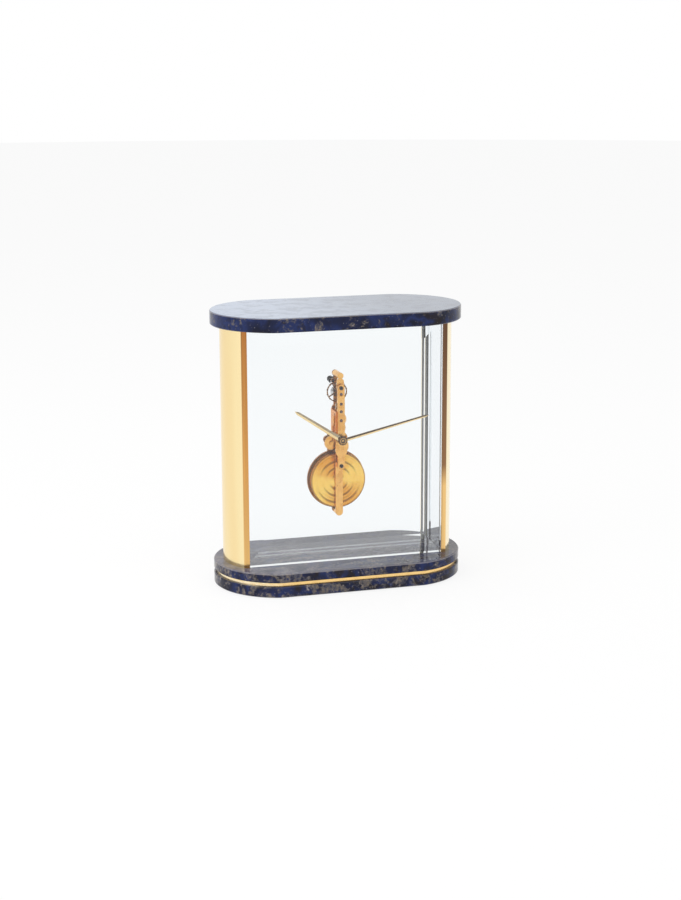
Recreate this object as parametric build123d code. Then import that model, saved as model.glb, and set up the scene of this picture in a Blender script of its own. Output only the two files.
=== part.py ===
from build123d import *
import math
import os

# Desk clock: stone base and top, gilt columns, clear panels and a bar-shaped movement.
# Millimetres, +Z up, the front faces -Y, origin at the centre of the underside.

# Stone slabs, one plan shape for base and top
slab_half_length = 96.2
slab_half_depth = 49.2
slab_end_radius = 50.3
total_height = 210.0
felt_thickness = 0.8
felt_inset = 3.0
lower_slab_thickness = 8.1
band_thickness = 3.1
band_inset = 2.2
upper_slab_thickness = 7.0
top_slab_thickness = 10.6
slab_edge_chamfer = 0.7

# Columns, bent from sheet round an upright axis
column_half_width = 89.2
column_radius = 38.5
column_half_depth = 25.5
lip_reach = 4.0
lip_lean = 1.5
column_sheet = 1.2
column_wall_x = 77.2
block_height = 6.0
rod_radius = 2.5
rod_x = 82.6
rod_clearance = 0.3
nut_radius = 4.6
nut_height = 3.6
nut_recess_radius = 6.0
rod_end_in_slab = 5.0

# Clear panels
panel_clearance = 0.2
panel_seat = 0.1
lining_thickness = 0.8
front_panel_thickness = 9.0
front_bevel_width = 14.0
front_bevel_depth = 1.6
carrier_panel_thickness = 5.0
back_panel_thickness = 6.0

# Movement: layers along Y and the heights of its arbors
pivot_height = 109.7
bridge_front = -9.5
bridge_thickness = 2.0
plate_front = 6.0
plate_thickness = 2.0
bar_front = -3.2
bar_thickness = 1.8
spacer_height = 1.0
barrel_height = 76.1
fine_module = 0.3
barrel_module = 0.45
arbor_radius = 0.6
pivot_radius = 0.25
pivot_clearance = 0.06
jewel_radius = 1.2
end_float = 0.2

# Teeth
barrel_teeth = 96
barrel_pinion_leaves = 16
second_teeth = 48
center_pinion_leaves = 12
center_teeth = 40
third_pinion_leaves = 10
third_teeth = 36
fourth_pinion_leaves = 12
fourth_teeth = 36
escape_pinion_leaves = 10
escape_teeth = 15
cannon_leaves = 12
minute_teeth = 36
minute_pinion_leaves = 10
hour_teeth = 40

# Balance and lever
balance_height = 144.6
balance_radius = 7.9
balance_rim = 0.75
balance_screw_reach = 0.45
balance_front = 2.0
balance_thickness = 1.0
lever_height = 137.1
lever_front = -6.6
lever_back = -6.0
fork_half_gap = 0.9
roller_pin_radius = 1.3

# Hands
minute_hand_length = 70.0
hour_hand_length = 44.2
minute_hand_angle = 13.0
hour_hand_angle = 146.5
hand_edge = 0.3
hour_hand_front = -12.0
minute_hand_front = -13.6
hand_tip = -14.2
center_tip_radius = 0.7
cap_bore = 0.72
cap_radius = 3.4

# Frame bars, posts and screws
bridge_half_width = 2.75
bridge_top = 152.1
bridge_bottom = 86.4
bridge_screw_heights = [149.3, 89.2]
bridge_screw_hole = 0.8
screw_shank = 1.2
screw_head_radius = 2.4
screw_head_height = 1.4
collar_radius = 2.9
top_post_x = -1.9
top_post_z = 152.4
low_post_x = 11.0
low_post_z = 66.0
pillar_z = 158.3
pillar_radius = 2.4
plate_radius = 22.6
neck_half_width = 1.4
nose_thickness = 1.4
cheek_x = -3.2
cheek_middle = 122.6
cheek_length = 17.0

# Winding, and the direction in which the minute wheel stands
set_angle = 203
wind_knob_radius = 8.0
wind_knob_length = 5.0
wind_hole_radius = 3.0
wind_arbor_radius = 1.5
click_x = -9.5

# Worked-out heights and depths
lower_slab_bottom = felt_thickness
band_bottom = lower_slab_bottom + lower_slab_thickness
upper_slab_bottom = band_bottom + band_thickness
base_top = upper_slab_bottom + upper_slab_thickness
top_bottom = total_height - top_slab_thickness
column_shoulder = column_half_width - column_radius + math.sqrt(column_radius ** 2 - column_half_depth ** 2)
lip_tip_x = column_shoulder - lip_reach
lip_face = column_half_depth + lip_lean
front_panel_front = -(lip_face - column_sheet - panel_clearance)
front_panel_back = front_panel_front + front_panel_thickness
back_panel_back = lip_face - column_sheet - panel_clearance
back_panel_front = back_panel_back - back_panel_thickness
bridge_back = bridge_front + bridge_thickness
bar_back = bar_front + bar_thickness
plate_back = plate_front + plate_thickness
carrier_front = plate_back + spacer_height
carrier_back = carrier_front + carrier_panel_thickness
panel_half_width = column_wall_x - panel_clearance
hour_module = fine_module * (cannon_leaves + minute_teeth) / (minute_pinion_leaves + hour_teeth)


def up(sketch, bottom, top):
    """A plan outline raised between two heights."""
    return extrude(Pos(0, 0, bottom) * sketch, amount=top - bottom, dir=(0, 0, 1))


def deep(sketch, front, back):
    """An outline seen from the front, in X and Z, made solid between two depths."""
    plane = Plane(origin=(0, back, 0), x_dir=(1, 0, 0), z_dir=(0, -1, 0))
    return extrude(plane * sketch, amount=back - front, dir=(0, -1, 0))


def rod(x, z, radius, front, back):
    """A round bar along Y."""
    return deep(Pos(x, z) * Circle(radius), front, back)


def fused(*pieces):
    """Several overlapping shapes joined to one piece."""
    whole = pieces[0]
    for piece in pieces[1:]:
        whole = whole + piece
    return whole


def group(pieces):
    """Separate solids kept in one node."""
    return Compound(children=[piece.solid() if hasattr(piece, "solid") else piece for piece in pieces])


def save(shape, node):
    """One STEP file for each node."""
    export_step(shape, os.path.join("parts", node + ".step"))


def slab_plan(inset=0.0):
    """The slabs' plan: straight front and back, and ends a little flatter than half circles."""
    half_depth = slab_half_depth - inset
    radius = slab_end_radius - inset
    centre = slab_half_length - slab_end_radius
    corner = centre + math.sqrt(radius ** 2 - half_depth ** 2)
    tip = slab_half_length - inset
    front = Line((-corner, -half_depth), (corner, -half_depth))
    right = ThreePointArc((corner, -half_depth), (tip, 0), (corner, half_depth))
    back = Line((corner, half_depth), (-corner, half_depth))
    left = ThreePointArc((-corner, half_depth), (-tip, 0), (-corner, -half_depth))
    return make_face([front, right, back, left])


def column_plan(offset=0.0):
    """One right-hand column seen from above: a bowed outside with a leaning lip at each end."""
    radius = column_radius - offset
    centre = column_half_width - column_radius
    half_depth = column_half_depth - offset
    shoulder = centre + math.sqrt(radius ** 2 - half_depth ** 2)
    wall = column_wall_x + offset
    bow = ThreePointArc((shoulder, -half_depth), (centre + radius, 0), (shoulder, half_depth))
    sides = Polyline((shoulder, half_depth), (wall, half_depth), (wall, -half_depth), (shoulder, -half_depth))
    return make_face([bow, sides])


def lip_plan():
    """The front lip that holds a panel: it leaves the column's shoulder and reaches over the panel's edge."""
    points = [
        (column_shoulder, -column_half_depth),
        (lip_tip_x, -lip_face),
        (lip_tip_x, -lip_face + column_sheet),
        (column_wall_x, -lip_face + column_sheet),
        (column_wall_x, -column_half_depth + column_sheet),
        (column_shoulder, -column_half_depth + column_sheet),
    ]
    return Polygon(*points, align=None)


def rod_holes(radius, bottom, top):
    """The two holes through which the tie rods pass."""
    return [up(Pos(side * rod_x, 0) * Circle(radius), bottom, top) for side in (-1, 1)]


def make_base():
    """Felt, two stone slabs and the gilt band between them."""
    felt = up(slab_plan(felt_inset), 0, felt_thickness)
    lower = up(slab_plan(), lower_slab_bottom, band_bottom)
    lower = chamfer(lower.edges().filter_by(Plane.XY), slab_edge_chamfer)
    band = up(slab_plan(band_inset), band_bottom, upper_slab_bottom)
    upper = up(slab_plan(), upper_slab_bottom, base_top)
    upper = chamfer(upper.edges().filter_by(Plane.XY), slab_edge_chamfer)
    recess_top = lower_slab_bottom + nut_height + 1.0
    for hole in rod_holes(nut_recess_radius, -1, recess_top):
        felt -= hole
        lower -= hole
    for hole in rod_holes(rod_radius + rod_clearance, 0, base_top + 1):
        lower -= hole
        band -= hole
        upper -= hole
    save(felt, "base_felt")
    save(lower, "lower_base_slab")
    save(band, "base_band")
    save(upper, "upper_base_slab")


def make_top():
    """The stone top, with blind holes for the tie rods."""
    top = up(slab_plan(), top_bottom, total_height)
    top = chamfer(top.edges().filter_by(Plane.XY), slab_edge_chamfer)
    for hole in rod_holes(rod_radius + rod_clearance, top_bottom - 1, top_bottom + rod_end_in_slab + 0.5):
        top -= hole
    save(top, "top_slab")


def make_columns():
    """Two bowed gilt columns, the blocks that close them, and the rods and nuts that clamp the case."""
    shell = up(column_plan(), base_top, top_bottom)
    shell -= up(column_plan(column_sheet), base_top - 1, top_bottom + 1)
    lip = up(lip_plan(), base_top, top_bottom)
    shell = fused(shell, lip, mirror(lip, Plane.XZ))
    blocks = []
    for bottom in (base_top, top_bottom - block_height):
        block = up(column_plan(column_sheet + 0.1), bottom, bottom + block_height)
        block -= up(Pos(rod_x, 0) * Circle(rod_radius + rod_clearance), bottom - 1, bottom + block_height + 1)
        blocks.append(block)
    save(shell, "right_column")
    save(mirror(shell, Plane.YZ), "left_column")
    save(group(blocks), "right_column_blocks")
    save(group([mirror(block, Plane.YZ) for block in blocks]), "left_column_blocks")
    rods = []
    nuts = []
    nut_bottom = lower_slab_bottom + 1.0
    for side in (-1, 1):
        bar = Pos(side * rod_x, 0) * Circle(rod_radius)
        rods.append(up(bar, nut_bottom - 0.6, top_bottom + rod_end_in_slab))
        nut = Pos(side * rod_x, 0) * RegularPolygon(nut_radius, 6)
        nut = up(nut, nut_bottom, nut_bottom + nut_height)
        nuts.append(nut - up(Pos(side * rod_x, 0) * Circle(rod_radius + 0.02), 0, nut_bottom + nut_height + 1))
    save(group(rods), "tie_rods")
    save(group(nuts), "tie_rod_nuts")


def panel_outline(inset=0.0):
    """A clear panel seen from the front, standing between the two slabs."""
    bottom = base_top + panel_seat + inset
    top = top_bottom - panel_seat - inset
    return Pos(0, (bottom + top) / 2) * Rectangle(2 * (panel_half_width - inset), top - bottom)


def make_panels():
    """Front panel with a wide bevel inside, the carrier that holds the movement, and the drilled back panel."""
    shoulder = front_panel_back - front_bevel_depth
    front = deep(panel_outline(), front_panel_front, shoulder)
    back_plane = Plane(origin=(0, shoulder, 0), x_dir=(1, 0, 0), z_dir=(0, 1, 0))
    outer = back_plane * (Rot(180, 0, 0) * panel_outline())
    inner_plane = Plane(origin=(0, front_panel_back, 0), x_dir=(1, 0, 0), z_dir=(0, 1, 0))
    inner = inner_plane * (Rot(180, 0, 0) * panel_outline(front_bevel_width))
    front += loft([outer.face(), inner.face()], ruled=True)
    carrier = deep(panel_outline(), carrier_front, carrier_back)
    back = deep(panel_outline(), back_panel_front, back_panel_back)
    for x, z in mount_screws():
        carrier -= rod(x, z, screw_shank + 0.2, carrier_front - 1, carrier_back + 1)
    carrier -= rod(0, barrel_height, wind_arbor_radius + 0.5, carrier_front - 1, carrier_back + 1)
    carrier -= rod(click_x, barrel_height, 0.67, carrier_back - 3.0, carrier_back + 1)
    back -= rod(0, barrel_height, wind_hole_radius, back_panel_front - 1, back_panel_back + 1)
    save(front, "front_panel")
    save(carrier, "carrier_panel")
    save(back, "back_panel")


def make_linings():
    """Mirror-bright strips on the columns' inner walls, in front of the carrier panel and behind it."""
    strips = []
    for side in (-1, 1):
        middle = side * (column_wall_x - lining_thickness / 2)
        for start, end in ((front_panel_back, carrier_front), (carrier_back, back_panel_front)):
            depth = end - start - 2 * panel_clearance
            outline = Pos(middle, (start + end) / 2) * Rectangle(lining_thickness, depth)
            strips.append(up(outline, base_top, top_bottom))
    save(group(strips), "side_linings")


# Places of the movement's arbors, each worked out from the tooth counts
def pitch(teeth, module=fine_module):
    return teeth * module / 2


def set_arbor():
    """The minute wheel's arbor, up and left of the barrel, in mesh with the cannon pinion."""
    distance = pitch(cannon_leaves) + pitch(minute_teeth)
    angle = math.radians(set_angle)
    return distance * math.cos(angle), pivot_height + distance * math.sin(angle)


def second_arbor():
    """The arbor between barrel and centre, right of the middle, in mesh with both."""
    lower = pitch(barrel_teeth, barrel_module) + pitch(barrel_pinion_leaves, barrel_module)
    upper = pitch(second_teeth) + pitch(center_pinion_leaves)
    gap = pivot_height - barrel_height
    rise = (lower ** 2 - upper ** 2 + gap ** 2) / (2 * gap)
    return math.sqrt(lower ** 2 - rise ** 2), barrel_height + rise


third_z = pivot_height + pitch(center_teeth) + pitch(third_pinion_leaves)
fourth_z = third_z + pitch(third_teeth) + pitch(fourth_pinion_leaves)
escape_z = fourth_z + pitch(fourth_teeth) + pitch(escape_pinion_leaves)

def mount_screws():
    """Where the movement is screwed to the carrier panel."""
    return [(top_post_x, top_post_z), (-low_post_x, low_post_z), (low_post_x, low_post_z)]


def direction(start, end):
    return math.degrees(math.atan2(end[1] - start[1], end[0] - start[0]))


def gear(teeth, module, facing, tooth_there):
    """A toothed outline about the origin, with a tooth or a gap in the direction facing, in degrees."""
    outer = pitch(teeth, module) + 0.85 * module
    root = pitch(teeth, module) - 1.2 * module
    step = 360 / teeth
    start = facing if tooth_there else facing + step / 2
    points = []
    for i in range(teeth):
        middle = start + i * step
        for radius, share in ((root, -0.29), (outer, -0.11), (outer, 0.11), (root, 0.29)):
            angle = math.radians(middle + share * step)
            points.append((radius * math.cos(angle), radius * math.sin(angle)))
    return Polygon(*points, align=None)


def spokes(count, outer, inner, width):
    """The windows between a wheel's spokes."""
    windows = Circle(outer) - Circle(inner)
    for i in range(count):
        windows -= Rot(0, 0, i * 360 / count) * Pos(outer / 2, 0) * Rectangle(outer, width)
    return windows


def wheel(teeth, module, facing, count):
    """A crossed-out wheel about the origin."""
    outline = gear(teeth, module, facing, True)
    rim = pitch(teeth, module) - 1.2 * module - 0.8
    return outline - Rot(0, 0, 17) * spokes(count, rim, arbor_radius + 0.9, 0.8)


def staff(x, z, front, back, radius=arbor_radius):
    """An arbor with a thin pivot at each end that runs in the bridge and in the plate."""
    body = rod(x, z, radius, front + end_float, back - end_float)
    pivots = rod(x, z, pivot_radius, front - 0.9, back + 0.9)
    return body + pivots


def spiral(inner, outer, turns, thickness):
    """A coiled strip about the origin, between two radii."""
    steps = 14 * turns
    inside = []
    outside = []
    for i in range(steps + 1):
        angle = 2 * math.pi * turns * i / steps
        radius = inner + (outer - inner) * i / steps
        inside.append((radius * math.cos(angle), radius * math.sin(angle)))
        outside.append(((radius + thickness) * math.cos(angle), (radius + thickness) * math.sin(angle)))
    edges = [Spline(*inside), Line(inside[-1], outside[-1]), Spline(*outside), Line(outside[0], inside[0])]
    return make_face(edges)


def make_barrel():
    """Toothed drum, its grooved lid, the mainspring, and the arbor with ratchet and winding knob."""
    drum_radius = pitch(barrel_teeth, barrel_module) - 1.2 * barrel_module
    drum_front = bar_back + 0.5
    lid_back = drum_front + 1.2
    flange_front = 3.2
    drum_back = 4.6
    here = Pos(0, barrel_height)
    facing = direction((0, barrel_height), second_arbor())
    drum = deep(here * Circle(drum_radius), lid_back, drum_back)
    drum += deep(here * gear(barrel_teeth, barrel_module, facing, True), flange_front, drum_back)
    drum -= deep(here * Circle(drum_radius - 0.9), lid_back - 1, drum_back - 0.8)
    drum -= rod(0, barrel_height, 2.2, drum_back - 2, drum_back + 1)
    lid = deep(here * Circle(drum_radius + 0.5), drum_front, lid_back)
    lid -= rod(0, barrel_height, 2.2, drum_front - 1, lid_back + 1)
    for radius in (6.0, 9.6, 13.2, 16.8):
        ring = Circle(radius + 1.1) - Circle(radius)
        lid -= deep(here * ring, drum_front - 1, drum_front + 0.35)
    spring = deep(here * spiral(3.6, drum_radius - 2.2, 7, 0.5), lid_back + 0.3, drum_back - 1.1)
    save(drum, "mainspring_barrel")
    save(lid, "barrel_lid")
    save(spring, "mainspring")
    knob_front = back_panel_back + 1.0
    arbor = rod(0, barrel_height, 2.0, drum_front + 0.1, drum_back)
    arbor += rod(0, barrel_height, 3.0, lid_back + 0.3, drum_back - 1.1)
    arbor += rod(0, barrel_height, wind_arbor_radius, bar_front + 0.4, knob_front + 3.0)
    save(arbor, "barrel_arbor")
    teeth = []
    count = 24
    for i in range(count):
        tip = math.radians(i * 360 / count)
        foot = math.radians((i + 0.15) * 360 / count)
        teeth.append((5.2 * math.cos(tip), 5.2 * math.sin(tip)))
        teeth.append((4.5 * math.cos(foot), 4.5 * math.sin(foot)))
    ratchet = deep(here * Polygon(*teeth, align=None), carrier_back + 1.0, carrier_back + 2.0)
    ratchet -= rod(0, barrel_height, wind_arbor_radius, carrier_back, carrier_back + 3)
    save(ratchet, "ratchet_wheel")
    knob = deep(here * knurled(wind_knob_radius, 36, 0.5), knob_front, knob_front + wind_knob_length)
    knob -= rod(0, barrel_height, wind_arbor_radius, knob_front - 1, knob_front + 3.0)
    save(knob, "winding_knob")


def knurled(radius, count, depth):
    """A round outline with fine grip teeth."""
    points = []
    for i in range(2 * count):
        reach = radius - depth * (i % 2)
        angle = math.pi * i / count
        points.append((reach * math.cos(angle), reach * math.sin(angle)))
    return Polygon(*points, align=None)


def make_click():
    """The click that stops the ratchet from running back, its screw and its spring."""
    x, z = click_x, barrel_height
    front = carrier_back + 1.0
    nose = [(-5.35, z + 0.1), (-5.75, z + 0.9)]
    arm = Polygon((x - 1.2, z - 1.2), (x + 1.0, z - 1.2), *nose, (x, z + 1.4), align=None)
    click = deep(arm + Pos(x, z) * Circle(1.5), front, front + 1.0)
    click -= rod(x, z, 0.7, front - 1, front + 2)
    save(click, "ratchet_click")
    screw = rod(x, z, 0.65, carrier_back - 3.0, front + 1.3)
    screw += rod(x, z, 1.5, front + 1.2, front + 1.9)
    save(screw, "click_screw")
    spring = Polyline((x - 2.2, z + 10.0), (x - 2.2, z + 2.0), (x - 0.6, z + 1.8))
    leaf = make_face(offset(spring, 0.2, side=Side.BOTH).edges())
    leaf = deep(leaf, front, front + 0.8) + rod(x - 2.2, z + 10.0, 1.3, carrier_back, front + 1.2)
    save(leaf, "click_spring")


def wheel_body(x, z, front, back, parts):
    """An arbor with its wheels: parts lists an outline and its two depths."""
    body = staff(x, z, front, back)
    for outline, start, end in parts:
        body += deep(Pos(x, z) * outline, start, end)
    return body


def make_train():
    """Second, centre, third, fourth and escape wheels, each on its own arbor."""
    second = second_arbor()
    centre = (0, pivot_height)
    to_second = direction((0, barrel_height), second)
    to_centre = direction(second, centre)
    second_wheel = wheel_body(second[0], second[1], bar_back, plate_front, [
        (gear(barrel_pinion_leaves, barrel_module, to_second + 180, False), 3.1, 4.7),
        (wheel(second_teeth, fine_module, to_centre, 5), 5.0, 5.6),
    ])
    save(second_wheel, "second_wheel")
    centre_wheel = wheel_body(0, pivot_height, bridge_back, plate_front, [
        (gear(center_pinion_leaves, fine_module, to_centre + 180, False), 4.9, 5.7),
        (wheel(center_teeth, fine_module, 90, 5), 0.2, 0.9),
    ])
    centre_wheel += rod(0, pivot_height, center_tip_radius, hand_tip + 0.5, bridge_back + 1)
    save(centre_wheel, "center_wheel")
    third = wheel_body(0, third_z, bridge_back, plate_front, [
        (gear(third_pinion_leaves, fine_module, 270, False), 0.1, 1.0),
        (wheel(third_teeth, fine_module, 90, 4), -2.4, -1.7),
    ])
    save(third, "third_wheel")
    fourth = wheel_body(0, fourth_z, bridge_back, plate_front, [
        (gear(fourth_pinion_leaves, fine_module, 270, False), -2.5, -1.6),
        (wheel(fourth_teeth, fine_module, 90, 4), -4.6, -4.0),
    ])
    save(fourth, "fourth_wheel")
    blades = []
    for i in range(escape_teeth):
        for radius, share in ((2.2, 0.0), (3.0, 0.12), (3.05, 0.24), (2.2, 0.3)):
            angle = math.radians((i + share) * 360 / escape_teeth)
            blades.append((radius * math.cos(angle), radius * math.sin(angle)))
    blade_ring = Polygon(*blades, align=None) - spokes(4, 1.8, 0.9, 0.45)
    escape = wheel_body(0, escape_z, bridge_back, plate_front, [
        (gear(escape_pinion_leaves, fine_module, 270, False), -4.7, -3.9),
        (blade_ring, lever_front, lever_back),
    ])
    save(escape, "escape_wheel")


def make_escapement():
    """Lever with its two pallets, the lever's cock, the balance with its screws, and the hairspring."""
    reach = lever_height - escape_z
    roller_z = balance_height - roller_pin_radius
    shape = Pos(0, (lever_height + roller_z) / 2) * Rectangle(0.9, roller_z - lever_height)
    shape += Pos(0, roller_z - 0.5) * Rectangle(2 * fork_half_gap + 1.0, 1.4)
    shape -= Pos(0, roller_z + 0.25) * Rectangle(2 * fork_half_gap, 1.6)
    shape += Pos(0, lever_height) * Circle(1.0)
    shape += Pos(0, lever_height - 0.3) * Rectangle(7.4, 0.9)
    for side in (-1, 1):
        shape += Pos(side * 3.3, lever_height - reach * 0.42) * Rectangle(0.7, reach * 0.62)
    lever = deep(shape, lever_front, lever_back)
    cock_front = lever_back + 0.6
    cock_back = cock_front + 0.8
    lever += rod(0, lever_height, 0.45, bridge_back + end_float, cock_front - 0.15)
    lever += rod(0, lever_height, pivot_radius, bridge_back - 0.9, cock_back - 0.1)
    save(lever, "pallet_lever")
    cock = deep(Pos(0.8, lever_height + 0.9) * Rectangle(3.8, 4.4), cock_front, cock_back)
    cock += deep(Pos(2.0, lever_height + 2.3) * Rectangle(1.4, 1.6), bridge_back, cock_back)
    cock -= rod(0, lever_height, pivot_radius + pivot_clearance, cock_front - 1, cock_back + 1)
    save(cock, "pallet_cock")
    back = balance_front + balance_thickness
    rim = Circle(balance_radius) - Circle(balance_radius - balance_rim)
    for i in range(4):
        rim += Rot(0, 0, 30 + 90 * i) * Pos(balance_radius / 2, 0) * Rectangle(balance_radius - 0.4, 0.8)
    rim += Circle(1.3)
    balance = wheel_body(0, balance_height, bridge_back, plate_front, [(rim, balance_front, back)])
    middle = (balance_front + back) / 2
    for i in range(12):
        turn = Rot(0, 30 * i + 15, 0)
        stub = Pos(balance_radius - 0.3, 0, 0) * Rot(0, 90, 0) * Cylinder(0.32, 2 * balance_screw_reach + 0.4)
        balance += Pos(0, middle, balance_height) * turn * stub
    roller_back = lever_back + 0.9
    balance += rod(0, balance_height, 1.7, roller_back - 0.5, roller_back)
    balance += rod(0, balance_height - roller_pin_radius, 0.2, lever_front, roller_back - 0.1)
    save(balance, "balance_wheel")
    spring = deep(Pos(0, balance_height) * Rot(0, 0, 90) * spiral(0.75, 4.4, 8, 0.12), back + 1.6, back + 2.2)
    save(spring, "hairspring")
    stud = rod(0, balance_height + 5.4, 0.55, back + 1.3, plate_front)
    save(stud, "hairspring_stud")
    index = deep(Pos(0, balance_height) * (Circle(1.7) - Circle(0.9)), plate_back, plate_back + 0.7)
    index += deep(Pos(0, balance_height + 2.6) * Rectangle(0.7, 2.6), plate_back, plate_back + 0.7)
    save(index, "regulator_index")


def bar_outline(half_width, bottom, top):
    """An upright bar with round ends."""
    shape = Pos(0, (bottom + top) / 2) * Rectangle(2 * half_width, top - bottom - 2 * half_width)
    shape += Pos(0, bottom + half_width) * Circle(half_width)
    shape += Pos(0, top - half_width) * Circle(half_width)
    return shape


def bridge_pivots():
    """Every arbor that runs in a jewel of the front bridge."""
    return [fourth_z, escape_z, lever_height, balance_height]


def make_frames():
    """Back plate, front bridge, barrel bar, the blocks between them, jewels and screws."""
    second = second_arbor()
    set_place = set_arbor()
    plate = Pos(0, barrel_height) * Circle(plate_radius)
    plate += bar_outline(2.9, barrel_height, 134.0)
    plate += bar_outline(neck_half_width, 125.0, pillar_z + neck_half_width)
    plate += Pos(0, pillar_z) * Circle(pillar_radius)
    plate += Pos(top_post_x, top_post_z) * Circle(1.5)
    plate += Pos(top_post_x / 2, top_post_z) * Rectangle(abs(top_post_x), 1.0)
    plate += Pos(0, pivot_height - 6) * Rectangle(13.0, 15.0)
    plate += Pos(set_place[0], set_place[1]) * Circle(3.0)
    plate += Pos(0, 52.0) * Circle(2.9) + Pos(0, 54.9) * Rectangle(5.8, 6.0)
    back_plate = deep(plate, plate_front, plate_back)
    for z in (pivot_height, third_z, fourth_z, escape_z, balance_height):
        back_plate -= rod(0, z, pivot_radius + pivot_clearance, plate_front - 1, plate_back + 1)
    for x, z in (second, set_place):
        back_plate -= rod(x, z, pivot_radius + pivot_clearance, plate_front - 1, plate_back + 1)
    back_plate -= rod(0, barrel_height, wind_arbor_radius + 0.05, plate_front - 1, plate_back + 1)
    for x, z in mount_screws():
        back_plate -= rod(x, z, screw_shank, plate_front - 1, plate_back + 1)
    save(back_plate, "movement_plate")

    bridge = bar_outline(bridge_half_width, bridge_bottom, bridge_top)
    bridge += bar_outline(4.4, pivot_height - 13.5, pivot_height + 6.0)
    front_bridge = deep(bridge, bridge_front, bridge_back)
    front_bridge -= rod(0, pivot_height, 2.35, bridge_front - 1, bridge_back + 1)
    for z in bridge_pivots():
        front_bridge -= rod(0, z, jewel_radius, bridge_front - 1, bridge_back + 1)
    front_bridge -= rod(0, third_z, pivot_radius + pivot_clearance, bridge_back - 1.3, bridge_back + 1)
    for z in bridge_screw_heights:
        front_bridge -= rod(0, z, bridge_screw_hole, bridge_front - 1, bridge_back + 1)
    save(front_bridge, "front_bridge")

    bar = deep(bar_outline(2.85, 48.8, 102.4), bar_front, bar_back)
    arm = Pos(second[0] / 2 + 0.4, second[1] - 0.6) * Rectangle(second[0] + 3.4, 3.2)
    bar += deep(arm, bar_front, bar_back)
    bar -= rod(second[0], second[1], pivot_radius + pivot_clearance, bar_front - 1, bar_back + 1)
    bar -= rod(0, barrel_height, wind_arbor_radius + 0.05, bar_front - 1, bar_back + 1)
    save(bar, "barrel_bar")

    foot = deep(Pos(0, 51.6) * Rectangle(4.6, 2.6), bar_back, plate_front)
    neck = deep(Pos(0, bridge_screw_heights[1]) * Rectangle(4.4, 3.4), bridge_back, bar_front)
    neck -= rod(0, bridge_screw_heights[1], bridge_screw_hole, bridge_back - 1, bar_front + 1)
    save(group([foot, neck]), "bridge_blocks")

    cheek = deep(Pos(cheek_x, cheek_middle) * Rectangle(1.2, cheek_length), bridge_back, plate_front)
    for z, radius, front, back in wheel_slots():
        cheek -= deep(Pos(0, z) * Circle(radius), front, back)
    save(cheek, "side_cheek")

    nose_back = bridge_back + nose_thickness
    nose = bar_outline(bridge_half_width, balance_height + 1.9, pillar_z - 1.8)
    nose += Pos(0, pillar_z) * Circle(pillar_radius)
    nose = deep(nose, bridge_back, nose_back)
    nose -= rod(0, bridge_screw_heights[0], bridge_screw_hole, bridge_back - 1, nose_back + 1)
    save(nose, "balance_bridge")
    save(rod(0, pillar_z, pillar_radius, nose_back, plate_front), "top_pillar")

    jewels = []
    for z in bridge_pivots():
        jewel = rod(0, z, jewel_radius, bridge_front + 0.2, bridge_back)
        jewels.append(jewel - rod(0, z, pivot_radius + pivot_clearance, bridge_front - 1, bridge_back + 1))
    save(group(jewels), "bridge_jewels")

    screws = []
    for z in bridge_screw_heights:
        screw = rod(0, z, bridge_screw_hole - 0.02, bridge_front - 0.1, bridge_back + 0.9)
        screw += rod(0, z, 1.5, bridge_front - 0.6, bridge_front)
        slot = deep(Pos(0, z) * Rot(0, 0, 35) * Rectangle(3.2, 0.3), bridge_front - 1, bridge_front - 0.35)
        screws.append(screw - slot)
    save(group(screws), "bridge_screws")

    collars = []
    mounts = []
    for x, z in mount_screws():
        collar = rod(x, z, collar_radius, plate_back, carrier_front)
        collars.append(collar - rod(x, z, collar_radius - 0.5, plate_back - 1, carrier_front + 1))
        screw = rod(x, z, screw_shank - 0.02, plate_front, carrier_back + 0.1)
        screw += rod(x, z, screw_head_radius, carrier_back, carrier_back + screw_head_height)
        slot = deep(Pos(x, z) * Rectangle(6.0, 0.5), carrier_back + screw_head_height - 0.5, carrier_back + 3)
        mounts.append(screw - slot)
    save(group(collars), "mounting_collars")
    save(group(mounts), "mounting_screws")


def wheel_slots():
    """Room in the side cheek for the wheels that turn through it."""
    return [
        (third_z, pitch(third_teeth) + 0.8, -2.9, -1.2),
        (fourth_z, pitch(fourth_teeth) + 0.8, -5.1, -3.5),
        (third_z, 2.4, -0.4, 1.5),
        (fourth_z, 2.7, -3.0, -1.1),
        (pivot_height, pitch(center_teeth) + 0.8, -0.3, 1.4),
        (escape_z, 3.5, lever_front - 0.5, lever_back + 0.5),
        (pivot_height, pitch(hour_teeth) + 0.9, -7.2, -5.4),
        (escape_z, 2.4, -5.1, -3.5),
    ]


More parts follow.
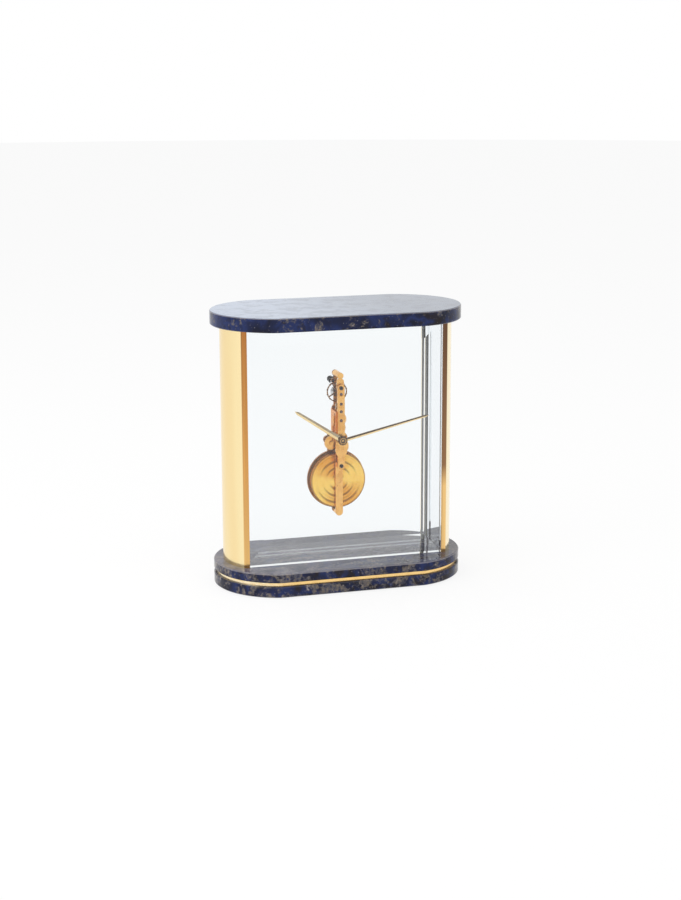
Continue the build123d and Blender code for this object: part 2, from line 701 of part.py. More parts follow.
def make_motion_work():
    """Cannon pinion, minute wheel and hour wheel with its pipe."""
    x, z = set_arbor()
    out = direction((0, pivot_height), (x, z))
    layer = (-5.2, -4.4)
    front_layer = (-6.6, -5.8)
    leaves = gear(cannon_leaves, fine_module, out, False)
    cannon = deep(Pos(0, pivot_height) * leaves, layer[0] - 0.1, layer[1] + 0.1)
    cannon += rod(0, pivot_height, 1.15, minute_hand_front - 0.1, layer[1])
    cannon -= rod(0, pivot_height, cap_bore, hand_tip, layer[1] + 1)
    save(cannon, "cannon_pinion")
    pinion = gear(minute_pinion_leaves, hour_module, out + 180, False)
    minute = fused(
        deep(Pos(x, z) * gear(minute_teeth, fine_module, out + 180, True), layer[0], layer[1]),
        deep(Pos(x, z) * pinion, front_layer[0] - 0.1, layer[0]),
        rod(x, z, arbor_radius, front_layer[0] - 0.1, plate_front - end_float),
        rod(x, z, pivot_radius, bridge_back - 0.5, plate_front + 0.9),
    )
    save(minute, "minute_wheel")
    teeth = gear(hour_teeth, hour_module, out, True)
    hour = deep(Pos(0, pivot_height) * teeth, front_layer[0], front_layer[1])
    hour += rod(0, pivot_height, 2.1, hour_hand_front - 0.1, front_layer[1])
    hour -= rod(0, pivot_height, 1.35, hour_hand_front - 1, front_layer[1] + 1)
    save(hour, "hour_wheel")


def hand(length, hub, width, tip_width, tail, front, thickness, angle, bore):
    """A tapering hand with a ridge down its middle and a pointed tip, pointing along the given angle."""
    shape = Polygon(
        (tail, -width / 2), (length - 3.0, -tip_width / 2), (length, 0),
        (length - 3.0, tip_width / 2), (tail, width / 2), align=None)
    blade = deep(shape, front, front + thickness)
    half = width / 2 + 0.3
    back = -front - thickness
    eave = back + hand_edge
    roof = Polygon((-half, back), (half, back), (half, eave), (0, -front), (-half, eave), align=None)
    roof_plane = Plane(origin=(0, 0, 0), x_dir=(0, 0, 1), z_dir=(1, 0, 0))
    ridge = extrude(roof_plane * roof, amount=length + 5, both=True)
    blade = blade & ridge
    disc = rod(0, 0, hub, front + 0.3, front + thickness)
    blade = blade + disc - rod(0, 0, bore, front - 1, front + thickness + 1)
    return Pos(0, 0, pivot_height) * (Rot(0, -angle, 0) * blade)


def make_hands():
    """Hour hand, minute hand and the cap that holds them."""
    hour = hand(hour_hand_length, 3.2, 3.8, 2.6, 2.0, hour_hand_front, 1.0, hour_hand_angle, 2.12)
    save(hour, "hour_hand")
    minute = hand(minute_hand_length, 2.6, 2.7, 1.7, 1.6, minute_hand_front, 0.9, minute_hand_angle, 1.17)
    save(minute, "minute_hand")
    cap = rod(0, pivot_height, cap_radius, hand_tip - 0.3, minute_hand_front - 0.1)
    cap = chamfer(cap.edges().filter_by(GeomType.CIRCLE).sort_by(Axis.Y)[0], 0.35)
    cap -= rod(0, pivot_height, 1.9, hand_tip - 1, hand_tip)
    cap -= rod(0, pivot_height, cap_bore, hand_tip - 1, minute_hand_front)
    save(cap, "hand_cap")


def main():
    os.makedirs("parts", exist_ok=True)
    make_base()
    make_top()
    make_columns()
    make_panels()
    make_linings()
    make_barrel()
    make_click()
    make_train()
    make_escapement()
    make_motion_work()
    make_frames()
    make_hands()


main()
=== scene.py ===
import math

import bmesh
import bpy
from mathutils import Matrix, Vector


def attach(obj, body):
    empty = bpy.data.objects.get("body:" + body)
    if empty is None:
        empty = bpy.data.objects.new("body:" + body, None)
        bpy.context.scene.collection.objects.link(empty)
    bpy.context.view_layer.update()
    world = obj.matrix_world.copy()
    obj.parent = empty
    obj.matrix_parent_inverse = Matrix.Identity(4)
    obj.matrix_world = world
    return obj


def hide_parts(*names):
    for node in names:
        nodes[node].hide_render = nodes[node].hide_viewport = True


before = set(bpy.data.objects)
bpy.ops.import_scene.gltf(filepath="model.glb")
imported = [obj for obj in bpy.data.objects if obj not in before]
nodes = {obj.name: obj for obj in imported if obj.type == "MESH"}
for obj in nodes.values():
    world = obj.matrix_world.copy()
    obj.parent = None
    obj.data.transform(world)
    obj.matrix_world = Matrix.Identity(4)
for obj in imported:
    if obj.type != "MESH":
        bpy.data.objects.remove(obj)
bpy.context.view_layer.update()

# Places on the clock, in metres, as the frame has them
PIVOT_Z = 0.1097
BARREL_Z = 0.0761
LID_FRONT = -0.0009
LID_BACK = 0.0003
BASE_TOP = 0.0190
CLOCK_TOP = 0.2100

# Barrel lid's section, in millimetres
LID_BORE = 2.2
LID_FLAT_EDGE = 20.7
LID_FIRST_RING = 3.4
LID_RING_SPACING = 5.1
LID_RING_DEPTH = 0.42
LID_TURNED_OFF = 0.05
LID_FADE = 1.5
LID_EDGE_ROUND = ((21.1, 0.12), (21.45, 0.40))
LID_RADIUS = 21.5
LID_STEPS = 96
LID_SIDES = 144

# Where the hands point, anticlockwise from the right, and how wide the soft line between their painted dark
# and light sides is
MINUTE_ANGLE = math.radians(13.0)
HOUR_ANGLE = math.radians(146.5)
HAND_PAINTED_SPLIT = (-0.00012, 0.00012)

# Camera, from the fit to the photograph's edges
CAMERA_PLACE = (-0.36603, -1.28980, 0.40735)
CAMERA_TARGET = (0.00289, 0.0, 0.09875)
CAMERA_ROLL = -0.19
CAMERA_LENS = 72.037
CAMERA_SENSOR = 36.0

# The rays that see a white studio, the floor's glow for them, and the world's strength for the rest
SEEN_RAYS = ("Camera", "Glossy", "Transmission")
FLOOR_GLOW = 0.85
WORLD_LIGHT = 0.72
FLOOR_RADIUS = 6.0

# What the metal sees low in front, and how that fades to the sides and upwards
DARK_FRONT = (0.30, 0.27, 0.25)
DARK_FRONT_SIDES = (0.15, 0.85)
DARK_FRONT_TOP = (0.75, 0.35)


class Wire:
    """A shader socket that takes part in Python sums."""

    def __init__(self, finish, plug):
        self.finish = finish
        self.plug = plug

    def sum(self, operation, first, second):
        return self.finish.node("Math", {"operation": operation}, {0: first, 1: second})

    def __add__(self, other):
        return self.sum("ADD", self, other)

    def __sub__(self, other):
        return self.sum("SUBTRACT", self, other)

    def __mul__(self, other):
        return self.sum("MULTIPLY", self, other)

    def __truediv__(self, other):
        return self.sum("DIVIDE", self, other)

    def __radd__(self, other):
        return self.sum("ADD", other, self)

    def __rsub__(self, other):
        return self.sum("SUBTRACT", other, self)

    def __rmul__(self, other):
        return self.sum("MULTIPLY", other, self)


class Finish:
    """One surface finish of the clock: a material whose nodes are written as expressions."""

    def __init__(self, name, tree=None):
        if tree is None:
            self.material = bpy.data.materials.new(name)
            self.material.use_nodes = True
            tree = self.material.node_tree
        self.tree = tree
        tree.nodes.clear()

    def node(self, kind, settings=None, values=None, out=0):
        made = self.tree.nodes.new("ShaderNode" + kind)
        for key, value in (settings or {}).items():
            if key == "stops":
                self.set_stops(made.color_ramp, value)
            else:
                setattr(made, key, value)
        for key, value in (values or {}).items():
            if isinstance(value, Wire):
                self.tree.links.new(value.plug, made.inputs[key])
            else:
                made.inputs[key].default_value = value
        return Wire(self, made.outputs[out] if made.outputs else None)

    def set_stops(self, ramp, stops):
        while len(ramp.elements) > 1:
            ramp.elements.remove(ramp.elements[-1])
        ramp.elements[0].position = stops[0][0]
        ramp.elements[0].color = shade(stops[0][1])
        for place, colour in stops[1:]:
            ramp.elements.new(place).color = shade(colour)

    def place(self):
        """Where a point is on the clock, in metres."""
        return self.node("TexCoord", out="Object")

    def stretched(self, scale, shift=(0, 0, 0)):
        """A point's place, stretched and moved, for a pattern that runs along one way."""
        return self.node("Mapping", {}, {"Vector": self.place(), "Scale": scale, "Location": shift})

    def noise(self, where, scale, detail=4.0, rough=0.55, warp=0.0):
        return self.node("TexNoise", {}, {
            "Vector": where, "Scale": scale, "Detail": detail, "Roughness": rough, "Distortion": warp})

    def ramp(self, value, *stops):
        return self.node("ValToRGB", {"stops": stops}, {"Fac": value})

    def step(self, value, low, high):
        """Rises softly from 0 to 1 between the two ends."""
        return self.node("MapRange", {"interpolation_type": "SMOOTHSTEP"}, {
            "Value": value, "From Min": low, "From Max": high})

    def blend(self, share, first, second):
        values = {0: share, 6: colour_in(first), 7: colour_in(second)}
        return self.node("Mix", {"data_type": "RGBA"}, values, out=2)

    def axes(self, where=None):
        """The three numbers of a place."""
        split = self.node("SeparateXYZ", {}, {"Vector": where or self.place()})
        return [Wire(self, plug) for plug in split.plug.node.outputs]

    def bump(self, height, strength, distance=0.0002):
        return self.node("Bump", {}, {"Height": height, "Strength": strength, "Distance": distance})

    def surface(self, values):
        return self.node("BsdfPrincipled", {}, {key: colour_in(value) for key, value in values.items()})

    def close(self, shader):
        self.node("OutputMaterial", {}, {"Surface": shader})
        return self.material


def shade(colour):
    """A colour of three numbers gets its fourth."""
    return (*colour, 1.0) if len(colour) == 3 else colour


def colour_in(value):
    """Completes a plain colour; links and numbers stay as they are."""
    return shade(value) if isinstance(value, tuple) else value


# Colours, all linear
NAVY = (0.005, 0.007, 0.024)
DEEP_BLUE = (0.008, 0.014, 0.058)
BRIGHT_BLUE = (0.014, 0.027, 0.110)
VIOLET_GREY = (0.050, 0.052, 0.085)
STONE_GREY = (0.130, 0.120, 0.120)
TAN = (0.200, 0.155, 0.110)
DARK_BROWN = (0.014, 0.009, 0.008)
# Pale veins of the stone; the same colour is also the stone's painted chamfer highlight
PALE_VEIN_AND_EDGE_HIGHLIGHT = (0.34, 0.32, 0.34)
PALE_GOLD = (0.970, 0.800, 0.450)
# Pale cream gold, used as painted highlight: the right column, the band's left curve and the hour hand's
# light side
PAINTED_HIGHLIGHT_GOLD = (0.985, 0.860, 0.600)
DEEP_GOLD = (0.860, 0.560, 0.210)
MOVEMENT_GOLD = (0.930, 0.520, 0.150)
WHITE = (1.0, 1.0, 1.0)
MIRROR_BRIGHT = (0.94, 0.95, 0.96)
REAR_LIP_PAINTED_LIGHT = (0.90, 0.90, 0.90)

# Where the faces of the columns begin, each as the two ends of a soft step, in metres
FRONT_LIP = (0.0251, 0.0257)
FRONT_LIP_SIDE = (0.0842, 0.0838)
INNER_WALL = (0.0776, 0.0774)
INNER_WALL_DEPTH = (0.0252, 0.0248)
REAR_LIP = (0.0242, 0.0244)
REAR_LIP_SIDE = (0.0796, 0.0794)

# Front lips' painted reflection, from their foot to their top as a share of the clock's height
LEFT_LIP_PAINTED_REFLECTION = ((0.10, (0.98, 0.60, 0.22)), (0.45, (0.90, 0.46, 0.14)), (0.95, (0.52, 0.21, 0.06)))
RIGHT_LIP_PAINTED_REFLECTION = ((0.34, (0.86, 0.55, 0.22)), (0.42, (0.30, 0.16, 0.08)), (0.95, (0.17, 0.09, 0.05)))

# Hand cap, from its centre to its rim: grey middle, a dark recess of painted shade, thin gold ring, a dark
# rim with painted shadow
CAP_RADIUS = 0.0034
CAP_RINGS = (
    (0.0, (0.30, 0.24, 0.18)), (0.28, (0.24, 0.18, 0.13)), (0.36, (0.03, 0.018, 0.01)),
    (0.54, (0.04, 0.02, 0.012)), (0.58, (0.80, 0.44, 0.13)), (0.68, (0.72, 0.40, 0.13)),
    (0.74, (0.06, 0.03, 0.015)), (1.0, (0.10, 0.05, 0.025)),
)

# Barrel lid: the painted shade between its painted highlight flashes, the flashes, its rim's painted shade
# and the pitch of its turning
LID_PAINTED_SHADE = (0.84, 0.38, 0.045)
LID_PAINTED_HIGHLIGHT = (1.0, 0.66, 0.150)
LID_RIM_PAINTED_SHADE = (0.40, 0.15, 0.03)
LID_RIM_BEGINS = (0.0202, 0.0208)
LID_TURNING = 12000.0

# Band between the base slabs: its front, and where the painted highlight on its left curve ends
BAND_GOLD = (0.97, 0.66, 0.28)
BAND_LEFT_HIGHLIGHT_END = (-0.075, -0.045)

# How strongly each material bends light; the inner panels bend it far less than real ones would
FRONT_PANEL_BEND = 1.49
INNER_PANEL_BEND = 1.012
STONE_BEND = 1.30
RUBY_BEND = 1.77

# Scale of the grain in the satin gilt
SATIN_GRAIN = 3600


def stone(name, shift, brown, face_z, face, share):
    """Polished dark blue stone with tan, brown and violet clouding; its upward face carries a painted pale
    reflection, darker towards the right and patchy, and a painted pale highlight line runs just below it
    along the upper chamfer.
    """
    f = Finish(name)
    where = f.stretched((1, 1, 1), shift)
    middle = f.noise(where, 90, 5, 0.62, 0.5)
    fine = f.noise(where, 420, 4, 0.6, 0.3)
    blues = ((0.36, NAVY), (0.48, DEEP_BLUE), (0.56, BRIGHT_BLUE), (0.66, NAVY))
    body = f.ramp(f.noise(where, 38, 4, 0.55, 0.6), *blues)
    dark = f.step(f.noise(where, 70, 4, 0.6, 0.4), 0.50, 0.62)
    body = f.blend(dark * 0.85, body, DARK_BROWN)
    patches = f.noise(f.stretched((1, 1, 1), (shift[0] + 3.1, shift[1], shift[2])), 62, 6, 0.66, 0.8)
    cloud_share = f.step(patches + 0.16 * fine, 0.665 - brown, 0.76 - brown)
    clouds = ((0.34, DARK_BROWN), (0.43, VIOLET_GREY), (0.52, STONE_GREY), (0.62, TAN), (0.70, PALE_VEIN_AND_EDGE_HIGHLIGHT))
    cloud = f.ramp(fine, *clouds)
    body = f.blend(cloud_share * 0.85, body, cloud)
    speck = f.step(f.noise(where, 800, 2, 0.5), 0.66, 0.74)
    body = f.blend(speck * (0.25 + brown * 2), body, PALE_VEIN_AND_EDGE_HIGHLIGHT)
    x, y, z = f.axes()
    # Painted reflection: the upward face takes the pale face colour, darker towards the right and patchy.
    facing_up = f.step(z, face_z - 0.0003, face_z - 0.0001)
    pale = f.blend(f.step(x, -0.07, 0.06), face, tuple(part * 0.5 for part in face))
    pale = f.blend(f.step(middle, 0.45, 0.62) * 0.5, pale, f.blend(0.6, pale, DEEP_BLUE))
    body = f.blend(facing_up * share, body, pale)
    # Painted highlight: a pale line just below the upward face, along the upper chamfer.
    edge = f.step(z, face_z - 0.0009, face_z - 0.0007) * (1 - facing_up)
    body = f.blend(edge * 0.5, body, PALE_VEIN_AND_EDGE_HIGHLIGHT)
    look = {
        "Base Color": body,
        "Roughness": 0.05 + 0.08 * fine,
        "IOR": STONE_BEND,
        "Normal": f.bump(middle, 0.04),
    }
    return f.close(f.surface(look))


def polished_gilt(name):
    """Gilt sheet of the columns: a painted highlight makes the right column paler, the front lips carry a
    painted dark reflection that darkens upwards, the inner walls are mirror-bright, and the rear lips'
    forward faces carry painted light.
    """
    f = Finish(name)
    x, y, z = f.axes()
    drawn = f.noise(f.stretched((1, 1, 0.02)), 260, 3, 0.5)
    soft = f.noise(f.stretched((1, 1, 0.06)), 34, 2, 0.5)
    # Painted highlight: the right column is paler than the left.
    right = f.step(x, -0.001, 0.001)
    pale = f.blend(right, PALE_GOLD, PAINTED_HIGHLIGHT_GOLD)
    body = f.blend(f.step(soft, 0.35, 0.65) * 0.35, pale, f.blend(right, DEEP_GOLD, PALE_GOLD))
    side = f.node("Math", {"operation": "ABSOLUTE"}, {0: x})
    # Painted reflection: the front lips darken upwards, with darker streaks along the drawn grain.
    front = f.step(0 - y, *FRONT_LIP) * f.step(side, *FRONT_LIP_SIDE)
    streaks = f.step(drawn, 0.40, 0.60)
    high = z / CLOCK_TOP
    left_lip = f.ramp(high, *LEFT_LIP_PAINTED_REFLECTION)
    right_lip = f.ramp(high, *RIGHT_LIP_PAINTED_REFLECTION)
    lip_painted_reflection = f.blend(right, left_lip, right_lip)
    lip_painted_reflection = f.blend(streaks * 0.5, lip_painted_reflection, f.blend(0.5, lip_painted_reflection, DARK_BROWN))
    body = f.blend(front, body, lip_painted_reflection)
    depth = f.node("Math", {"operation": "ABSOLUTE"}, {0: y})
    inner = f.step(side, *INNER_WALL) * f.step(depth, *INNER_WALL_DEPTH)
    body = f.blend(inner, body, MIRROR_BRIGHT)
    facing = f.axes(f.node("NewGeometry", out="Normal"))[1]
    # Painted light: the rear lips' faces that look forward are a pale non-metal colour.
    rear = f.step(y, *REAR_LIP) * f.step(side, *REAR_LIP_SIDE) * f.step(0 - facing, 0.5, 0.7)
    body = f.blend(rear, body, REAR_LIP_PAINTED_LIGHT)
    look = {
        "Base Color": body,
        "Metallic": 1.0 - rear,
        "Roughness": (0.14 + 0.08 * drawn) * (1 - inner * 0.85),
        "Normal": f.bump(drawn, 0.05, 0.0001),
    }
    return f.close(f.surface(look))


def band_gilt(name):
    """Gilt edge of the band between the base slabs, with a painted highlight at the left curve and deeper
    in front.
    """
    f = Finish(name)
    rubbed = f.noise(f.stretched((1, 1, 6)), 180, 4, 0.6)
    x, y, z = f.axes()
    # Painted highlight: the left curve is paler.
    front = f.step(x, *BAND_LEFT_HIGHLIGHT_END)
    gold = f.blend(front, PAINTED_HIGHLIGHT_GOLD, BAND_GOLD)
    look = {
        "Base Color": f.blend(f.step(rubbed, 0.4, 0.65) * 0.6, gold, DEEP_GOLD),
        "Metallic": 1.0,
        "Roughness": 0.18 + 0.12 * rubbed,
        "Normal": f.bump(rubbed, 0.05, 0.0001),
    }
    return f.close(f.surface(look))


def satin_gilt(name, colour, dark, rough):
    """Fine satin gilt of the movement, with a little tarnish in its clouding."""
    f = Finish(name)
    cloud = f.noise(f.place(), 150, 3, 0.55)
    fine = f.noise(f.place(), SATIN_GRAIN, 2, 0.5)
    look = {
        "Base Color": f.blend(f.step(cloud, 0.38, 0.66) * 0.55, colour, dark),
        "Metallic": 1.0,
        "Roughness": rough + 0.14 * cloud,
        "Normal": f.bump(fine, 0.10, 0.00005),
    }
    return f.close(f.surface(look))


def turned_gilt(name):
    """The barrel lid, turned in fine rings round the winding arbor, with painted radial highlight flashes
    and a painted dark rim.
    """
    f = Finish(name)
    x, y, z = f.axes()
    up = z - BARREL_Z
    reach = f.node("Math", {"operation": "SQRT"}, {0: x * x + up * up})
    ring = f.node("Math", {"operation": "SINE"}, {0: reach * LID_TURNING})
    # Painted highlight: soft radial flashes over a painted darker ground.
    angle = f.node("Math", {"operation": "ARCTAN2"}, {0: up, 1: x})
    painted_flash = f.node("Math", {"operation": "SINE"}, {0: angle * 2.0 + 0.8})
    cloud = f.noise(f.place(), 170, 3, 0.55)
    share = f.step(painted_flash * 0.5 + cloud, 0.0, 1.05)
    body = f.blend(share, LID_PAINTED_SHADE, LID_PAINTED_HIGHLIGHT)
    # Painted shade: a dark rim round the lid's edge.
    edge = f.step(reach, *LID_RIM_BEGINS)
    body = f.blend(edge * 0.6, body, LID_RIM_PAINTED_SHADE)
    look = {
        "Base Color": body,
        "Metallic": 1.0,
        "Roughness": 0.20 + 0.10 * cloud,
        "Normal": f.bump(ring, 0.10, 0.00002),
    }
    return f.close(f.surface(look))


def two_sided_hand(name, angle, painted_upper_side, painted_lower_side):
    """A hand with painted reflection: one side of its centre line is painted dark, the other light."""
    f = Finish(name)
    x, y, z = f.axes()
    across = (z - PIVOT_Z) * math.cos(angle) - x * math.sin(angle)
    grain = f.noise(f.place(), 300, 3, 0.5)
    # Painted reflection: one colour on each side of the hand's centre line.
    body = f.blend(f.step(across, *HAND_PAINTED_SPLIT), painted_lower_side, painted_upper_side)
    look = {
        "Base Color": f.blend(grain * 0.35, body, f.blend(0.5, body, DEEP_GOLD)),
        "Metallic": 1.0,
        "Roughness": 0.12 + 0.10 * grain,
    }
    return f.close(f.surface(look))


def hub_cap(name):
    """Dark cap with a thin gold ring and a grey middle; its recess and rim are darkened with painted shade.
    """
    f = Finish(name)
    x, y, z = f.axes()
    up = z - PIVOT_Z
    reach = f.node("Math", {"operation": "SQRT"}, {0: x * x + up * up}) / CAP_RADIUS
    grain = f.noise(f.place(), 900, 2, 0.5)
    # Painted shade: the dark rings of the cap's recess and rim.
    look = {
        "Base Color": f.ramp(reach, *CAP_RINGS),
        "Metallic": 0.9,
        "Roughness": 0.20 + 0.15 * grain,
    }
    return f.close(f.surface(look))


def mirror_plate(name):
    """Mirror-bright plate of the strips inside the columns."""
    f = Finish(name)
    haze = f.noise(f.place(), 60, 2, 0.5)
    look = {
        "Base Color": f.blend(haze, (0.95, 0.96, 0.97), (0.92, 0.93, 0.95)),
        "Metallic": 1.0,
        "Roughness": 0.02 + 0.02 * haze,
    }
    return f.close(f.surface(look))


def steel(name, colour, rough):
    """Ground or blued steel with faint drawn lines."""
    f = Finish(name)
    drawn = f.noise(f.stretched((1, 0.1, 1)), 1400, 2, 0.5)
    look = {
        "Base Color": f.blend(drawn, colour, tuple(part * 0.6 for part in colour)),
        "Metallic": 1.0,
        "Roughness": rough + 0.1 * drawn,
        "Normal": f.bump(drawn, 0.06, 0.00005),
    }
    return f.close(f.surface(look))


def ruby(name):
    """Dark red stone of the bearings."""
    f = Finish(name)
    depth = f.noise(f.place(), 1500, 2, 0.5)
    look = {
        "Base Color": f.blend(depth, (0.045, 0.008, 0.007), (0.15, 0.028, 0.022)),
        "Roughness": 0.05 + 0.05 * depth,
        "IOR": RUBY_BEND,
    }
    return f.close(f.surface(look))


def felt(name):
    """Dark felt under the base."""
    f = Finish(name)
    fluff = f.noise(f.place(), 2600, 5, 0.7)
    look = {
        "Base Color": f.blend(fluff, (0.010, 0.012, 0.014), (0.045, 0.050, 0.055)),
        "Roughness": 0.92 + 0.05 * fluff,
        "Normal": f.bump(fluff, 0.8, 0.0003),
    }
    return f.close(f.surface(look))


def clear_panel(name, bend):
    """Clear polished panel; light from the lamps passes straight through it."""
    f = Finish(name)
    smear = f.noise(f.place(), 18, 2, 0.5)
    glass = f.surface({
        "Base Color": f.blend(smear, (0.985, 0.992, 0.995), (0.975, 0.988, 0.993)),
        "Roughness": 0.0,
        "IOR": bend,
        "Transmission Weight": 1.0,
    })
    clear = f.node("BsdfTransparent", {}, {"Color": (0.97, 0.98, 0.985, 1.0)})
    lamp_ray = f.node("LightPath", out="Is Shadow Ray")
    return f.close(f.node("MixShader", {}, {0: lamp_ray, 1: glass, 2: clear}))


def dress(material, *names):
    """Gives the named pieces one material in place of their own."""
    for name in names:
        slots = nodes[name].data.materials
        slots.clear()
        slots.append(material)


# The last two arguments of each stone are the painted pale reflection on its upward face and how strongly
# it shows.
dress(stone("stone_top", (0.4, 1.7, 0.2), 0.05, CLOCK_TOP, (0.44, 0.52, 0.66), 0.85), "top_slab")
dress(stone("stone_base", (2.3, 0.6, 1.1), 0.12, BASE_TOP, (0.26, 0.25, 0.30), 0.50),
      "upper_base_slab", "lower_base_slab")
dress(polished_gilt("gilt_columns"), "left_column", "right_column")
dress(band_gilt("gilt_band"), "base_band", "winding_knob")
dress(mirror_plate("mirror_plate"), "side_linings")
dress(satin_gilt("brass_blocks", (0.70, 0.50, 0.24), (0.5, 0.33, 0.14), 0.3),
      "left_column_blocks", "right_column_blocks")
dress(steel("ground_steel", (0.60, 0.58, 0.55), 0.22), "tie_rods", "tie_rod_nuts", "ratchet_click",
      "click_spring", "pallet_lever", "hairspring_stud", "regulator_index", "cannon_pinion")
dress(steel("blued_steel", (0.060, 0.045, 0.045), 0.16), "bridge_screws", "mounting_collars",
      "mounting_screws", "mainspring", "click_screw", "hairspring")
dress(satin_gilt("gilt_frame", MOVEMENT_GOLD, (0.70, 0.30, 0.045), 0.20), "front_bridge", "balance_bridge",
      "barrel_bar", "bridge_blocks", "top_pillar", "pallet_cock", "barrel_arbor")
dress(satin_gilt("gilt_cheek", (0.80, 0.30, 0.035), (0.62, 0.20, 0.025), 0.22), "side_cheek")
dress(satin_gilt("gilt_plate", (0.46, 0.20, 0.05), (0.24, 0.10, 0.03), 0.24), "movement_plate")
dress(satin_gilt("gilt_wheels", (0.88, 0.48, 0.12), (0.70, 0.32, 0.07), 0.16), "second_wheel",
      "center_wheel", "third_wheel", "fourth_wheel", "escape_wheel", "minute_wheel", "hour_wheel",
      "ratchet_wheel", "mainspring_barrel")
dress(turned_gilt("gilt_turned"), "barrel_lid")
dress(satin_gilt("gilt_balance", (0.30, 0.15, 0.05), (0.16, 0.08, 0.03), 0.20), "balance_wheel")
dress(two_sided_hand("gilt_hour_hand", HOUR_ANGLE, (0.93, 0.72, 0.38), PAINTED_HIGHLIGHT_GOLD), "hour_hand")
dress(two_sided_hand("gilt_minute_hand", MINUTE_ANGLE, (0.13, 0.07, 0.035), (0.97, 0.76, 0.42)),
      "minute_hand")
dress(hub_cap("dark_cap"), "hand_cap")
dress(ruby("ruby_jewels"), "bridge_jewels")
dress(felt("dark_felt"), "base_felt")
dress(clear_panel("clear_front", FRONT_PANEL_BEND), "front_panel")
dress(clear_panel("clear_inner", INNER_PANEL_BEND), "carrier_panel", "back_panel")


def lid_profile():
    """Radius and depth along the barrel lid's section: broad rings in front, a rounded rim, a flat back."""
    front = LID_FRONT * 1000
    points = []
    for i in range(LID_STEPS + 1):
        reach = LID_BORE + (LID_FLAT_EDGE - LID_BORE) * i / LID_STEPS
        wave = 0.5 - 0.5 * math.cos((reach - LID_FIRST_RING) * 2 * math.pi / LID_RING_SPACING)
        fade = min(1.0, (reach - LID_BORE) / LID_FADE, (LID_FLAT_EDGE - reach) / LID_FADE)
        points.append((reach, front + LID_TURNED_OFF + LID_RING_DEPTH * wave * fade))
    for reach, drop in LID_EDGE_ROUND:
        points.append((reach, front + drop))
    points.append((LID_RADIUS, LID_BACK * 1000))
    points.append((LID_BORE, LID_BACK * 1000))
    return points


def turned_lid():
    """The barrel lid as turned on a lathe, in place of the plain one."""
    mesh = bpy.data.meshes.new("turned_lid")
    form = bmesh.new()
    rings = []
    for reach, depth in lid_profile():
        ring = []
        for i in range(LID_SIDES):
            angle = 2 * math.pi * i / LID_SIDES
            place = (reach * math.cos(angle), depth, BARREL_Z * 1000 + reach * math.sin(angle))
            ring.append(form.verts.new(Vector(place) / 1000))
        rings.append(ring)
    for k, ring in enumerate(rings):
        following = rings[(k + 1) % len(rings)]
        for i in range(LID_SIDES):
            j = (i + 1) % LID_SIDES
            face = form.faces.new((ring[i], ring[j], following[j], following[i]))
            face.smooth = k < len(rings) - 2
    bmesh.ops.recalc_face_normals(form, faces=form.faces)
    form.to_mesh(mesh)
    form.free()
    piece = bpy.data.objects.new("turned_lid", mesh)
    bpy.context.scene.collection.objects.link(piece)
    mesh.materials.append(nodes["barrel_lid"].data.materials[0])
    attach(piece, "barrel")
    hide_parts("barrel_lid")


turned_lid()


def make_camera():
    """The photograph's view."""
    place = Vector(CAMERA_PLACE)
    forward = (Vector(CAMERA_TARGET) - place).normalized()
    right = forward.cross(Vector((0, 0, 1))).normalized()
    up = right.cross(forward)
    roll = math.radians(CAMERA_ROLL)
    across = right * math.cos(roll) + up * math.sin(roll)
    upright = up * math.cos(roll) - right * math.sin(roll)
    data = bpy.data.cameras.new("camera")
    data.lens = CAMERA_LENS
    data.sensor_width = CAMERA_SENSOR
    data.sensor_fit = "AUTO"
    data.clip_start = 0.01
    data.clip_end = 50
    camera = bpy.data.objects.new("camera", data)
    turn = Matrix((across, upright, -forward)).transposed().to_4x4()
    camera.matrix_world = Matrix.Translation(place) @ turn
    bpy.context.scene.collection.objects.link(camera)
    bpy.context.scene.camera = camera


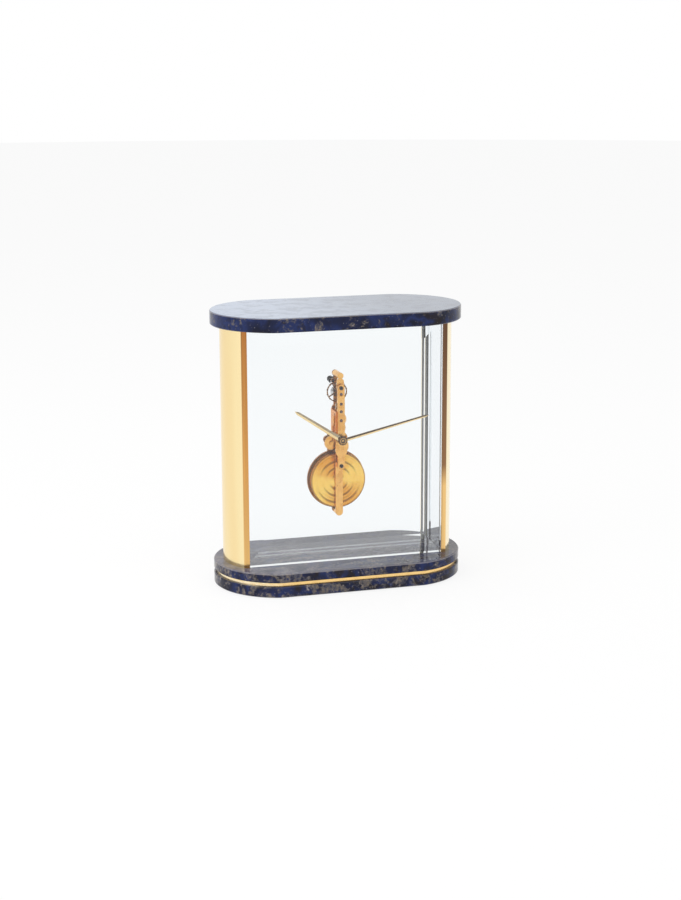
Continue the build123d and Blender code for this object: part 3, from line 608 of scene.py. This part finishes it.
def make_floor():
    """A pale floor that shows white and keeps the clock's soft shadow."""
    mesh = bpy.data.meshes.new("floor")
    form = bmesh.new()
    bmesh.ops.create_circle(form, cap_ends=True, segments=96, radius=FLOOR_RADIUS)
    form.to_mesh(mesh)
    form.free()
    floor = bpy.data.objects.new("floor", mesh)
    bpy.context.scene.collection.objects.link(floor)
    f = Finish("pale_floor")
    grain = f.noise(f.place(), 3, 2, 0.5)
    lit = f.node("BsdfDiffuse", {}, {"Color": f.blend(grain, (0.93, 0.93, 0.93), (0.95, 0.95, 0.95))})
    white = f.node("Emission", {}, {"Color": shade(WHITE), "Strength": 1.0})
    path = f.node("LightPath").plug.node.outputs
    camera, glossy, through = (Wire(f, path["Is %s Ray" % name]) for name in SEEN_RAYS)
    share = f.node("Math", {"operation": "MINIMUM"}, {0: camera + glossy + through, 1: 1.0}) * FLOOR_GLOW
    floor.data.materials.append(f.close(f.node("MixShader", {}, {0: share, 1: lit, 2: white})))


def make_world():
    """White for the eye and the glass, darker low in front for the metal, softer for all other light."""
    world = bpy.data.worlds.new("studio")
    bpy.context.scene.world = world
    world.use_nodes = True
    f = Finish("studio", world.node_tree)
    way = f.node("TexCoord", out="Generated")
    x, y, z = f.axes(way)
    path = f.node("LightPath").plug.node.outputs
    camera, glossy, through = (Wire(f, path["Is %s Ray" % name]) for name in SEEN_RAYS)
    dark_side = f.step(0 - y, *DARK_FRONT_SIDES) * glossy * f.step(z, *DARK_FRONT_TOP)
    seen = f.node("Math", {"operation": "MINIMUM"}, {0: camera + glossy + through, 1: 1.0})
    bright = f.node("Background", {}, {"Color": f.blend(dark_side, WHITE, DARK_FRONT), "Strength": 1.0})
    light = f.node("Background", {}, {"Color": shade(WHITE), "Strength": WORLD_LIGHT})
    mixed = f.node("MixShader", {}, {0: seen, 1: light, 2: bright})
    f.node("OutputWorld", {}, {"Surface": mixed})


def softbox(name, place, target, width, height, power):
    """A rectangular lamp that points at the target."""
    data = bpy.data.lights.new(name, "AREA")
    data.shape = "RECTANGLE"
    data.size = width
    data.size_y = height
    data.energy = power
    lamp = bpy.data.objects.new(name, data)
    lamp.location = place
    lamp.rotation_euler = (Vector(target) - Vector(place)).to_track_quat("-Z", "Y").to_euler()
    bpy.context.scene.collection.objects.link(lamp)


make_camera()
make_floor()
make_world()
softbox("softbox_top", (-0.3, -0.2, 1.5), (0, 0, 0.1), 1.6, 1.2, 9)
softbox("softbox_left", (-1.5, -0.5, 0.7), (0, 0, 0.1), 0.9, 1.2, 6)

scene = bpy.context.scene
scene.view_settings.view_transform = "Standard"
